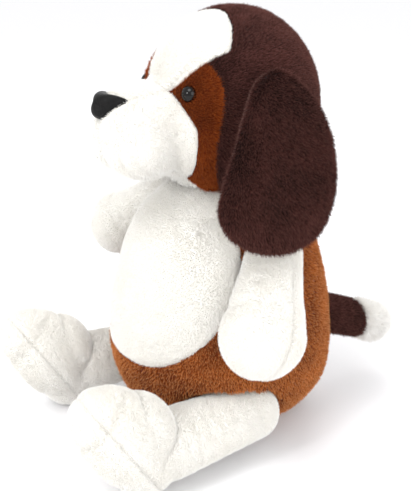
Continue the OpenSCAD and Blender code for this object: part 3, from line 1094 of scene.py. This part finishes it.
def tail_lumps(bm):
    stick(bm, tail_root, 17.5, tail_end, 16.5, 8)


def tail_seam(co):
    return -(co[:, 1] - (tail_low[1] + 6))


tail = fuse("tail_form", tail_lumps, voxel=2.2, smooth=6)
tail_panels = cut(tail, [("tail_tip_cloth", tail_seam), ("tail_cloth", None)])

# %% [markdown]
# Now each panel gets its backing, its pile and its place. The nap is brushed back from the
# nose on the head, down on the body and ears, and towards the paw on the limbs.

# %% Combing directions
def away_from(centre):
    return lambda co: co - np.array(centre)


def constant(way):
    return lambda co: np.tile(np.array(way, float), (len(co), 1))


def head_comb(co):
    rel = co - (head_c + (0, -110, -8))
    return rel + np.array([0, 0, -30.0])


def finish_piece(piece, body, slot_name, *nodes):
    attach(piece, body)
    if nodes:
        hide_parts(*nodes)
    return piece


def dress(piece, kind, body, nodes, length, per_mm2, width, comb, lean=0.6, scatter=0.4,
          seed=1, slot_name=None):
    """Backing, pile and place for one panel."""
    piece.data.materials.clear()
    piece.data.materials.append(back_mat[kind])
    slot_name = slot_name or kind + "_pile"
    finish_piece(piece, body, slot_name, *nodes.split())
    pile = grow(piece, kind, length, per_mm2, width, lean, scatter, seed, comb)
    set_points(pile, above(points(pile), 0.2))
    return finish_piece(pile, body, slot_name)


# %% Dress the head
WHITE = dict(length=2.4, per_mm2=1.75, width=0.28, lean=0.25, scatter=0.2)
FLUFFY = dict(length=5.6, per_mm2=2.0, width=0.33, lean=0.9, scatter=0.5)
COMBED = dict(length=4.6, per_mm2=1.95, width=0.32, lean=1.0, scatter=0.4)
head_jobs = [
    ("muzzle_cloth", "white", "muzzle_cover", WHITE),
    ("blaze_cloth", "white", "blaze_panel", WHITE),
    ("chin_cloth", "white", "chin_panel", WHITE),
    ("patch_cloth_left", "rust", "eye_patch_left", COMBED),
    ("patch_cloth_right", "rust", "eye_patch_right", COMBED),
    ("head_cloth_left", "dark", "head_side_left head_stuffing", COMBED),
    ("head_cloth_right", "dark", "head_side_right", COMBED)]
for seed, (name, kind, node, nap) in enumerate(head_jobs):
    dress(head_panels[name], kind, "head", node, comb=head_comb, seed=seed, **nap)

# %% Dress the torso
BROWN = dict(length=4.2, per_mm2=0.6, width=0.58, lean=0.7, scatter=0.5)
dress(torso_panels["back_cloth"], "brown", "torso",
      "torso_back_cover torso_stuffing neck_wadding",
      comb=constant((0, 0, -1)), seed=11, **BROWN)
dress(torso_panels["belly_cloth"], "white", "torso", "belly_panel",
      comb=constant((0, 0, -1)), seed=12, **WHITE)
dress(torso_panels["base_cloth"], "brown", "torso", "base_panel",
      comb=constant((0, 1, 0)), seed=13, length=1.0, per_mm2=0.3, width=0.4)

# %% Dress ears, arms, legs and tail
for side in ("left", "right"):
    root, down, out, sign = ear_frame(side)
    dress(ears["ear_cloth_" + side], "dark", "ear_" + side, f"ear_outer_{side} ear_wadding_{side}",
          comb=constant(down), seed=21, **FLUFFY)
    dress(ears["ear_lining_cloth_" + side], "lining", "ear_" + side, "ear_lining_" + side,
          comb=constant(down), seed=22, slot_name="ear_lining_pile", **WHITE)
    dress(limbs["arm_cloth_" + side], "white", "arm_" + side,
          f"arm_cover_{side} arm_stuffing_{side}", comb=away_from(shoulders[side]), seed=31, **WHITE)
    dress(limbs["leg_cloth_" + side], "white", "leg_" + side,
          f"leg_cover_{side} leg_stuffing_{side}", comb=away_from(hips[side]), seed=32, **WHITE)
    dress(limbs["sole_cloth_" + side], "white", "leg_" + side, "sole_" + side,
          comb=away_from(heel[side] + SOLE_OUT * 20), seed=33, length=2.2, per_mm2=1.2,
          width=0.4)
dress(tail_panels["tail_cloth"], "dark", "tail", "tail_sleeve tail_stuffing",
      comb=constant((0, 1, -0.3)), seed=41, **FLUFFY)
dress(tail_panels["tail_tip_cloth"], "white", "tail", "tail_tip",
      comb=constant((0, 1, -0.3)), seed=42, length=8.0, per_mm2=2.4, width=0.5, lean=0.9,
      scatter=0.8)

# %% [markdown]
# The plastic parts and the hidden stuffing keep the shapes they have in the frame and only
# need their finishes: polyester fibre for the stuffing, woven cloth for the bean pouch.

# %% Finishes for parts that keep their shape
def stuffing_material(name, light, dark, scale):
    s = Shader(name)
    strands = s.noise(scale, 6.0, 0.75)
    base = s.mix(strands.ramp(0.35, 0.7), dark, light)
    bump = s.add("ShaderNodeBump", None, {"Strength": 0.8, "Distance": 0.001,
                                          "Height": strands}, "Normal")
    return s.surface(Base_Color=base, Roughness=0.9 + 0.08 * strands, Normal=bump)


hidden = {"stuffing": stuffing_material("polyester stuffing", rgb(246, 246, 244),
                                        rgb(214, 214, 210), 420.0),
          "pouch": stuffing_material("pouch cloth", rgb(232, 228, 214), rgb(200, 194, 176),
                                     1500.0),
          "pellets": stuffing_material("plastic pellets", rgb(236, 236, 232),
                                       rgb(190, 190, 186), 300.0),
          "washer": stuffing_material("washer plastic", rgb(232, 232, 228),
                                      rgb(212, 212, 208), 200.0)}
for node, part in frame["nodes"].items():
    finish = None
    if node.startswith("eye_") and "patch" not in node and "washer" not in node:
        finish = eye_mat
    elif node == "nose":
        finish = nose_mat
    elif "washer" in node:
        finish = hidden["washer"]
    elif "stuffing" in node or "wadding" in node:
        finish = hidden["stuffing"]
    elif node == "pellets":
        finish = hidden["pellets"]
    elif node == "pellet_pouch":
        finish = hidden["pouch"]
    if finish:
        part.data.materials.clear()
        part.data.materials.append(finish)

# %% Eyes and nose go on the head
EYE_TURN, EYE_RISE = math.radians(32.5), math.radians(13.5)
EYE_R, EYE_SUNK = 6.6, 0.3
NOSE_TILT = math.radians(24)
NOSE_SIZE = dict(wide=32, tall=20, deep=9.0)
for side, sign in (("left", 1), ("right", -1)):
    look = np.array([sign * math.sin(EYE_TURN) * math.cos(EYE_RISE),
                     -math.cos(EYE_TURN) * math.cos(EYE_RISE), math.sin(EYE_RISE)])
    spot = surface_spot(head_skin, head_c, look)
    eye = dome("eye_dome_" + side, spot - look * EYE_SUNK, look, EYE_R)
    eye.data.materials.append(eye_mat)
    finish_piece(eye, "head", "black_plastic", "eye_" + side, "eye_washer_" + side)
nose_low, nose_high = (np.array(v) * 1000 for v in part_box("nose"))
nose_at = np.array([0.0, nose_low[1] + 0.5, nose_high[2] - 8.0])
nose = nose_mesh(nose_at, NOSE_TILT, **NOSE_SIZE)
nose.data.materials.append(nose_mat)
finish_piece(nose, "head", "black_plastic", "nose", "nose_washer")

# %% [markdown]
# A pale floor and large soft lights keep the white fur bright and the shadow faint. One small
# lamp near the camera only puts a glint in the eyes.

# %% Floor, lights and camera
WIDE = 30000        # half the floor's side, mm
floor = mesh_object("floor", [(-WIDE, -WIDE, 0), (WIDE, -WIDE, 0), (WIDE, WIDE, 0),
                              (-WIDE, WIDE, 0)], [(0, 1, 2, 3)])
s = Shader("pale floor")
floor.data.materials.append(s.surface(Base_Color=rgb(249, 249, 251), Roughness=0.9,
                                    Emission_Color=(1.0, 1.0, 1.0, 1.0),
                                    Emission_Strength=0.05))

world = bpy.data.worlds.new("studio")
scene.world = world
world.use_nodes = True
sky = world.node_tree.nodes["Background"]
sky.inputs[0].default_value = (1.0, 1.0, 1.0, 1.0)
sky.inputs[1].default_value = 0.98


def soft_light(name, place, aim, size, power):
    light = bpy.data.lights.new(name, "AREA")
    light.shape = "DISK"
    light.size = size
    light.energy = power
    lamp = bpy.data.objects.new(name, light)
    lamp.location = place
    lamp.rotation_euler = (Vector(aim) - Vector(place)).to_track_quat("-Z", "Y").to_euler()
    scene.collection.objects.link(lamp)


soft_light("key", (0.5, -0.9, 1.8), (0, 0, 0.2), 1.0, 11)
soft_light("fill", (1.6, -0.2, 0.8), (0, 0, 0.15), 1.2, 8)
soft_light("catch", (0.315, -1.21, 0.73), (0.04, -0.06, 0.28), 0.2, 3.1)
soft_light("rim", (-1.0, 1.0, 1.4), (0, 0, 0.2), 0.9, 7)

AIM = Vector((0.0, -0.014, 0.168))
AWAY = 0.76
turn, lift = math.radians(60), math.radians(20)
back = Vector((math.sin(turn) * math.cos(lift), -math.cos(turn) * math.cos(lift), math.sin(lift)))
lens = bpy.data.cameras.new("camera")
lens.lens = 63.05
lens.clip_start = 0.02
camera = bpy.data.objects.new("camera", lens)
camera.location = AIM + back * AWAY
camera.rotation_euler = (-back).to_track_quat("-Z", "Y").to_euler()
scene.collection.objects.link(camera)
scene.camera = camera
scene.view_settings.view_transform = "Standard"
